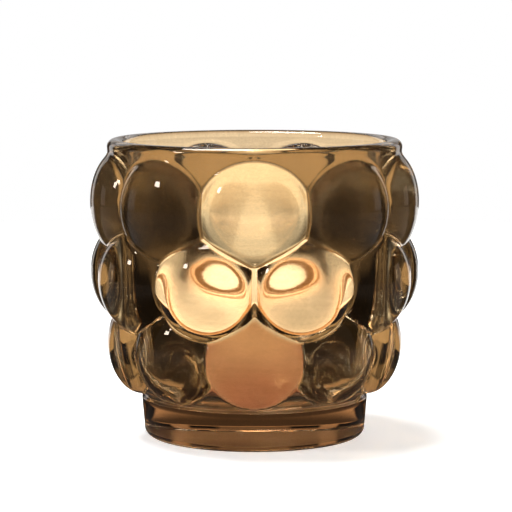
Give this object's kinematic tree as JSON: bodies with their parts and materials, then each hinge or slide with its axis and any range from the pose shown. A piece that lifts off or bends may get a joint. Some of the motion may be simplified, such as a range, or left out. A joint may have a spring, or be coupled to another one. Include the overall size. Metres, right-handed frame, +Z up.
{
  "type": "tealight holder",
  "caption": "Thick pressed glass tealight holder with staggered rows of solid round bubbles, and the tealight that stands in it.",
  "frame": {"origin": "middle of the base, on the table", "axes": "+Z up along the glass's axis; -Y is the front, where a bubble of the upper and the lower row faces the viewer"},
  "size_m": [0.0936, 0.0941, 0.084],
  "materials": {
    "amber_glass": "clear pressed glass with a thin smoky amber tint all over its outside",
    "cup_plastic": "clear moulded plastic, polished",
    "candle_wax": "paraffin wax, slightly translucent",
    "wick_cotton": "braided cotton, charred at the tip",
    "sustainer_steel": "tinned sheet"
  },
  "bodies": {
    "holder": {"glass_holder": "amber_glass"},
    "tealight": {"tealight_cup": "cup_plastic"},
    "candle": {"wax": "candle_wax", "wick": "wick_cotton", "wick_sustainer": "sustainer_steel"}
  },
  "joints": [
    {"name": "tealight_lift", "type": "slide", "parent": "holder", "child": "tealight", "axis": [0, 0, 1], "range_m": [0, 0.095]},
    {"name": "candle_lift", "type": "slide", "parent": "tealight", "child": "candle", "axis": [0, 0, 1], "range_m": [0, 0.035]}
  ]
}
